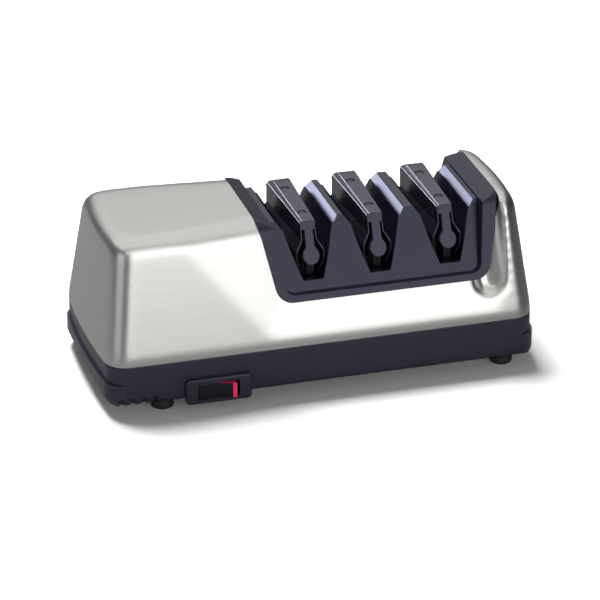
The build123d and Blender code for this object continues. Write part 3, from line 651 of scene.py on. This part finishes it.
def pressedBody(name, plane):
    # the whole housing cut back to one plane at front and rear, then rounded over at the top
    x, y, top, corner = steel["halfLength"], steel["halfDepth"], steel["top"], steel["corner"]
    body = addBlock(name, (-x, -y, steel["bottom"] - steel["spare"]), (x, y, steel["skirt"]))
    bevelEdges(body, lambda edge: span(edge, 2) > near, corner, steel["segments"])
    pick(body, "EDGE", lambda edge: span(edge, 1) > y)
    bpy.ops.mesh.subdivide(number_cuts=steel["endCuts"])
    done()
    for vert in body.data.vertices:
        if abs(vert.co.x) > x - corner - near:
            vert.co.x += math.copysign(steel["bow"] * (1 - (vert.co.y / y) ** 2), vert.co.x)
    # the leaning walls: the top face is drawn up and its corners pulled in
    pick(body, "FACE", lambda face: face.normal.z > facing)
    bpy.ops.mesh.extrude_region_move(
        TRANSFORM_OT_translate={"value": (0, 0, top - steel["skirt"])})
    done()
    straight = y - corner
    squeeze = (straight - steel["frontLean"]) / straight
    for sideX in (-1, 1):
        pick(body, "VERT", lambda vert: vert.co.z > top - near
             and vert.co.x * sideX > x - corner + near and abs(vert.co.y) < straight - near)
        bpy.ops.transform.translate(value=(-sideX * steel["endLean"], 0, 0))
        bpy.ops.transform.resize(value=(1, squeeze, 1), center_override=(0, 0, top))
        done()
        for sideY in (-1, 1):
            moveVerts(body, lambda vert: vert.co.z > top - near and vert.co.x * sideX > 0
                      and vert.co.y * sideY > straight - near,
                      (-sideX * steel["endLean"], -sideY * steel["frontLean"], 0))
    place, outward = plane
    bisect(body, place, outward)
    bisect(body, (place[0], -place[1], place[2]), (outward[0], -outward[1], outward[2]))
    bevelEdges(body, lambda edge: lowest(edge) > top - near and len(edge.link_faces) == 2
               and min(face.normal.z for face in edge.link_faces) < facing,
               steel["topRound"], steel["segments"], clamp_overlap=False)
    return body


def joinInto(piece, others):
    activate(piece)
    for other in others:
        other.select_set(True)
    bpy.ops.object.join()


def hollowTool(side):
    # a long capsule with one flat side, which becomes the hollow's floor
    place, outward = Vector(steel["apron"][0]), Vector(steel["apron"][1])
    tilt = -outward.z / outward.y
    radius = hollow["radius"]
    ends = []
    for x, z, depth in hollow["axis"]:
        foot = Vector((x, place.y + (z - place.z) * tilt, z))
        ends.append(foot + outward * (radius - depth))
    along = (ends[1] - ends[0]).normalized()
    selectNone()
    bpy.ops.mesh.primitive_uv_sphere_add(segments=hollow["segments"], ring_count=hollow["rings"],
                                         radius=radius)
    tool = bpy.context.object
    tool.name = "hollowTool"
    moveVerts(tool, lambda vert: vert.co.z > near, (0, 0, hollow["length"]))
    tool.rotation_euler = along.to_track_quat("Z", "Y").to_euler()
    tool.location = ends[0]
    activate(tool)
    applyPlace()
    # the floor deepens from the hollow's right edge, which is found at the upper end
    half = math.sqrt(radius ** 2 - (radius - depth) ** 2)
    turn = math.radians(hollow["turn"])
    across = outward * math.cos(turn) + outward.cross(along) * math.sin(turn)
    bisect(tool, foot + Vector((half, 0, 0)), -across)
    if side > 0:
        mirrorToRear(tool)
    return tool


def openingTool():
    # wider at the top, with two round lower corners
    middle, low, high = opening["middle"], opening["low"], opening["toolTop"]
    half, deep = opening["halfLow"], opening["toolDepth"]
    slope = (opening["halfTop"] - half) / (steel["top"] - low)
    wider = (half + slope * (high - low)) / half
    tool = addBlock("openingTool", (middle - half, -deep, low), (middle + half, deep, high))
    scaleVerts(tool, lambda vert: vert.co.z > high - near, (wider, 1, 1), (middle, 0, high))
    bevelEdges(tool, lambda edge: highest(edge) < low + near and span(edge, 1) > deep,
               opening["corner"], steel["segments"])
    return tool


def openInside(body):
    # cuts the opening, leaves only the outer skin and gives it the sheet's thickness
    tool = openingTool()
    marks = [bpy.data.materials.new(name) for name in ("skinMark", "cutMark")]
    for index, piece in enumerate((body, tool)):
        piece.data.materials.clear()
        for mark in marks:
            piece.data.materials.append(mark)
        for face in piece.data.polygons:
            face.material_index = index
    cutAway(body, tool)
    pick(body, "FACE", lambda face: face.material_index == 1)
    bpy.ops.mesh.delete(type="FACE")
    done()
    bisect(body, (0, 0, steel["bottom"]), (0, 0, -1), fill=False)
    useModifier(body, "SOLIDIFY", thickness=steel["wall"], offset=-1)


def makeOneSkin(body):
    useModifier(body, "REMESH", mode="VOXEL", voxel_size=steel["voxel"], use_smooth_shade=True)


def makeHousing():
    body = pressedBody("steelHousing", steel["apron"])
    joinInto(body, [pressedBody(name, planeThrough(steel[name])) for name in ("flank", "farSide")])
    makeOneSkin(body)
    for side in (-1, 1):
        cutAway(body, hollowTool(side))
    makeOneSkin(body)
    useModifier(body, "SMOOTH", factor=steel["softening"], iterations=steel["softPasses"])
    openInside(body)
    smoothShade(body, steel["shadeAngle"])
    return body


steelHousing = makeHousing()
print("steel housing:", len(steelHousing.data.polygons), "faces")
finishPiece(steelHousing, "housing", "housing_shell", "housingSteel")


# bezel and slot insert
module = {
    "edge": 0.0004,
    "bezelEdge": 0.0009,
    "outerX": (-0.0342, 0.1078),        # where the bezel's top meets the steel
    "slopeWidth": 0.0105,
    "slopeTop": 0.1005,
    "slopeLow": 0.0958,
    "stages": (-0.0030, 0.0363, 0.0776),
    # foot and top of a divider's bevel: distance from the stage's middle, and height
    "bevelFrom": (0.0143, 0.0902),
    "bevelTo": (0.0180, 0.0953),
    "cutterTop": 0.104,
    "cutterDepth": 0.07,
}


def slopedBlock(lowX, highX, lowZ, highZ):
    # a long cutter whose underside climbs from one X to the other
    top, deep = module["cutterTop"], module["cutterDepth"]
    tool = addBlock("slopeCutter", (min(lowX, highX), -deep, lowZ), (max(lowX, highX), deep, top))
    moveVerts(tool, lambda vert: vert.co.z < top - near and abs(vert.co.x - highX) < near,
              (0, 0, highZ - lowZ))
    return tool


def makeBezel():
    piece = softCopy("slotBezel", "slot_bezel")
    for outer, inward in zip(module["outerX"], (1, -1)):
        cutAway(piece, slopedBlock(outer + inward * module["slopeWidth"], outer,
                                   module["slopeLow"], module["slopeTop"]))
    softenEdges(piece, module["bezelEdge"], segments=3)
    return piece


def makeInsert():
    piece = softCopy("slotInsert", "slot_insert")
    (footX, footZ), (topX, topZ) = module["bevelFrom"], module["bevelTo"]
    for stage in module["stages"]:
        for side in (-1, 1):
            cutAway(piece, slopedBlock(stage + side * footX, stage + side * topX, footZ, topZ))
    softenEdges(piece, module["edge"])
    return piece


# guide blocks
guide = {
    "top": 0.0953,
    "slab": 0.0047,              # its thickness
    "front": (-0.0049, 0.0041),  # left and right side of the slab at its front
    "rear": (-0.0063, 0.0069),
    "end": 0.0302,
    "topEnd": 0.0289,
    "ridge": -0.0033,            # left of it the top is cut back in one long chamfer
    "chamferSlope": 0.56,
    "rearReach": 0.0045,         # how much further the slab goes to the rear than to the front
    "rearFall": (0.0295, 0.16),  # Y behind which the top falls, and how steeply
    "bulbZ": 0.077,
    "bulbRadius": 0.0049,
    "bulbSides": 48,
    "neckAngle": 45,             # where the neck leaves the bulb, in degrees above its middle
    "neck": ((0.0809, 0.0031), (0.0817, 0.0027), (0.0908, 0.0026)),    # height and half width
    "postInner": 0.0255,
    "postDepth": 0.016,
    "faceLow": 0.0362,           # reach of the leaning face at faceLowZ
    "faceLowZ": 0.0765,
    "stem": ((-0.0022, -0.0338, 0.0619), (0.0022, -0.0255, 0.078)),
    "skirt": (0.0009, -0.024, 0.0815),       # wall down each side: thickness, front end and foot
    "overlap": 0.001,
    "tuckAbove": 0.0835,         # the sheets' upper ends are drawn in under the slab
    "tuck": 0.78,
    # faces lower than this get the near-black finish: painted shade on the stem under each bulb
    "paintedShadeBelow": 0.0718,
    "softEdge": 0.0004,
    "softFrom": 8,               # edges that turn by more degrees are softened
    "sheetEdge": 0.0003,
    "shadeAngle": 35,
}
recess = {
    "x": 0.0003,
    "places": (0.0184, -0.0164),
    "radius": 0.0026,
    "depth": 0.0007,
    "cutterHeight": 0.004,
    "sides": 40,
    "plugShare": 0.74,           # a shallow plug with a slot stands in it
    "plugRise": 0.0004,
    "plugHeight": 0.002,
    "halfSlot": 0.0003,
}


def addRound(radius, place, height):
    selectNone()
    bpy.ops.mesh.primitive_cylinder_add(vertices=recess["sides"], radius=radius, depth=height,
                                        location=place)
    return bpy.context.object


def cutRecess(slab, y):
    x, radius, top = recess["x"], recess["radius"], guide["top"]
    floor = top - recess["depth"]
    height = recess["cutterHeight"]
    cutAway(slab, addRound(radius, (x, y, floor + height / 2), height))
    height = recess["plugHeight"]
    plug = addRound(radius * recess["plugShare"],
                    (x, y, floor + recess["plugRise"] - height / 2), height)
    half = recess["halfSlot"]
    cutAway(plug, addBlock("slotCut", (x - radius, y - half, floor),
                           (x + radius, y + half, top + guide["overlap"])))
    joinOn(slab, plug)


def makeSlab():
    top, low = guide["top"], guide["top"] - guide["slab"]
    end, reach = guide["end"], guide["rearReach"]
    sides = list(zip((-1, 1), guide["front"], guide["rear"]))
    slab = addBlock("guideSlab", (guide["front"][0], -end, low), (guide["front"][1], end, top))
    for side, front, rear in sides:
        moveVerts(slab, lambda vert: vert.co.y > 0 and vert.co.x * side > 0,
                  (rear - front, reach, 0))
    scaleVerts(slab, lambda vert: vert.co.z > low + near, (1, guide["topEnd"] / end, 1), (0, 0, 0))
    wall, ahead, foot = guide["skirt"]
    for side, front, rear in sides:
        spread = (rear - front) / (2 * end + reach)
        outer = front + spread * (ahead + end)
        inner = outer - side * wall
        skirt = addBlock("guideSkirt", (min(outer, inner), ahead, foot),
                         (max(outer, inner), end + reach, low + guide["overlap"]))
        moveVerts(skirt, lambda vert: vert.co.y > 0, (spread * (end + reach - ahead), 0, 0))
        joinOn(slab, skirt)
    bisect(slab, (guide["ridge"], 0, top), (-guide["chamferSlope"], 0, 1))
    place, fall = guide["rearFall"]
    bisect(slab, (0, place, top), (0, fall, 1))
    bevelEdges(slab, lambda edge: isHard(edge, guide["softFrom"]) and highest(edge) > low + near,
               guide["softEdge"], segments=2)
    for y in recess["places"]:
        cutRecess(slab, y)
    return slab


def makePost():
    # outline of bulb and neck, drawn upright and then given its depth
    centre, radius = guide["bulbZ"], guide["bulbRadius"]
    selectNone()
    bpy.ops.mesh.primitive_circle_add(vertices=guide["bulbSides"], radius=radius,
                                      fill_type="NGON", location=(0, -guide["postInner"], centre),
                                      rotation=(math.pi / 2, 0, 0))
    post = bpy.context.object
    post.name = "guidePost"
    applyPlace()
    leaves = math.radians(guide["neckAngle"])
    width = radius * math.cos(leaves)
    pick(post, "EDGE", lambda edge: lowest(edge) > centre + radius * math.sin(leaves) - near)
    for height, half in guide["neck"]:
        bpy.ops.mesh.extrude_edges_move(TRANSFORM_OT_translate={"value": (0, 0, near)})
        bpy.ops.transform.resize(value=(half / width, 1, 0), center_override=(0, 0, height))
        width = half
    done()
    mergeFlats(post)
    pickAll(post, "FACE")
    bpy.ops.mesh.extrude_region_move(
        TRANSFORM_OT_translate={"value": (0, -guide["postDepth"], 0)})
    bpy.ops.mesh.select_all(action="SELECT")
    bpy.ops.mesh.normals_make_consistent(inside=False)
    done()
    # the front leans out from under the slab's edge
    place = Vector((0, -guide["end"], guide["top"] - guide["slab"]))
    low = Vector((0, -guide["faceLow"], guide["faceLowZ"]))
    outward = Vector((0, low.z - place.z, place.y - low.y)).normalized()
    bisect(post, place, outward)
    bevelEdges(post, lambda edge: lowest(edge) < place.z - near
               and all(abs((vert.co - place).dot(outward)) < near for vert in edge.verts),
               guide["softEdge"], segments=3)
    joinOn(post, addBlock("guideStem", *guide["stem"]))
    return post


def makeGuides():
    block, post = makeSlab(), makePost()
    rearPost = ownCopy(post, "guidePostRear")
    mirrorToRear(rearPost)
    joinOn(block, post)
    joinOn(block, rearPost)
    evenShade(block, guide["shadeAngle"])
    for index, stage in enumerate(module["stages"], 1):
        piece = ownCopy(block, "guideBlock%d" % index)
        activate(piece)
        bpy.ops.transform.translate(value=(stage, 0, 0))
        applyPlace()
        finishPiece(piece, "housing", "guide_block_%d" % index, "guidePlastic")
        # the stem under each bulb gets the near-black finish: painted shade where it lies in shadow
        piece.data.materials.append(finishes["blackAndPaintedShade"])
        for face in piece.data.polygons:
            face.material_index = 1 if face.center.z < guide["paintedShadeBelow"] else 0
        sheet = softCopy("guideSheet%d" % index, "guide_spring_%d" % index)
        scaleVerts(sheet, lambda vert: vert.co.z > guide["tuckAbove"], (guide["tuck"], 1, 1),
                   (stage, 0, 0))
        softenEdges(sheet, guide["sheetEdge"])
        finishPiece(sheet, "housing", "guide_spring_%d" % index,
                    "springPolymer")
    bpy.data.objects.remove(block)


finishPiece(makeBezel(), "housing", "slot_bezel", "modulePlastic")
finishPiece(makeInsert(), "housing", "slot_insert", "modulePlastic")
makeGuides()
print("bezel, insert and guide blocks made")


# base, feet, lever and gland
base = {
    "frameWalls": 0.0535,                # the frame's long walls lie further out than this
    "frameSpread": 0.0547 / 0.0543,      # brings them flush with the tray
    "frameEdge": 0.0008,
    "frameSoftAbove": 0.0305,
    "trayEdge": 0.0005,
    "traySoftBelow": 0.0198,             # just under the parting line
    # strip behind the vents: X, distance from the middle, and height
    "baffle": ((-0.121, -0.0955), (0.0508, 0.0525), (0.0078, 0.0122)),
    # node, body, slot, finish and width of the soft edge
    "smallPieces": {
        "rubberFeet": ("base_feet", "housing", "foot_rubber", "footRubber", 0.0004),
        "rearGland": ("cord_gland", "housing", "base_plastic", "basePlastic", 0.0003),
        "dressingLever": ("dressing_lever", "lever", "base_plastic", "basePlastic", 0.0003),
        "hatchPlate": ("cleanout_cover", "housing", "base_plastic", "basePlastic", 0.0003),
    },
}


def makeBase():
    upper = softCopy("baseUpper", "base_frame")
    scaleVerts(upper, lambda vert: abs(vert.co.y) > base["frameWalls"],
               (1, base["frameSpread"], 1), (0, 0, 0))
    bevelEdges(upper, lambda edge: isHard(edge, hardAngle)
               and lowest(edge) > base["frameSoftAbove"], base["frameEdge"], segments=3)
    evenShade(upper)
    finishPiece(upper, "housing", "base_frame", "basePlastic")
    lower = softCopy("baseLower", "base_tray")
    (left, right), (inner, outer), (low, high) = base["baffle"]
    for fromY, toY in ((-outer, -inner), (inner, outer)):
        joinOn(lower, addBlock("ventBaffle", (left, fromY, low), (right, toY, high)))
    bevelEdges(lower, lambda edge: isHard(edge, hardAngle)
               and highest(edge) < base["traySoftBelow"], base["trayEdge"], segments=2)
    evenShade(lower)
    finishPiece(lower, "housing", "base_tray", "basePlastic")
    for name, (node, body, slotName, finish, width) in base["smallPieces"].items():
        piece = softCopy(name, node)
        softenEdges(piece, width)
        finishPiece(piece, body, node, finish)


makeBase()
print("base made")


# switch
switch = {
    "edge": 0.0003,
    "bandWidth": 0.0024,         # bright band at the raised end
}


def makeSwitch():
    bezel = softCopy("switchFrame", "switch_housing")
    softenEdges(bezel, switch["edge"])
    finishPiece(bezel, "housing", "switch_housing", "basePlastic")
    low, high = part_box("switch_rocker")
    rocker = softCopy("rockerCap", "switch_rocker")
    softenEdges(rocker, switch["edge"])
    band = high[0] - switch["bandWidth"]
    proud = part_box("switch_housing")[0][1]       # what lies in front stands out of the bezel
    middle = (low[0] + high[0]) / 2
    # split where the colours meet
    for place, across in (((band, 0, 0), (1, 0, 0)), ((middle, 0, 0), (1, 0, 0)),
                          ((0, proud, 0), (0, 1, 0))):
        pickAll(rocker, "FACE")
        bpy.ops.mesh.bisect(plane_co=place, plane_no=across)
        done()
    finishPiece(rocker, "rocker", "switch_rocker", "redPlastic")
    rocker.data.materials.append(finishes["blackAndPaintedShade"])
    for face in rocker.data.polygons:
        raised = face.center.y < proud and face.center.x > middle
        bright = face.center.x > band or (raised and abs(face.normal.z) > facing)
        face.material_index = 0 if bright else 1


makeSwitch()
print("switch made")


# lights that only some pieces show
def lightOnly(panelName, pieceNames):
    lit = bpy.data.collections.new(panelName + "Lit")
    for name in pieceNames:
        lit.objects.link(bpy.data.objects[name])
    bpy.data.objects[panelName].light_linking.receiver_collection = lit


guideNames = ["guideBlock1", "guideBlock2", "guideBlock3"]
lightOnly("rimPanel", ["slotInsert"] + guideNames)
lightOnly("stripPanel", guideNames)
lightOnly("edgePanel", guideNames)
print("lights shared out")
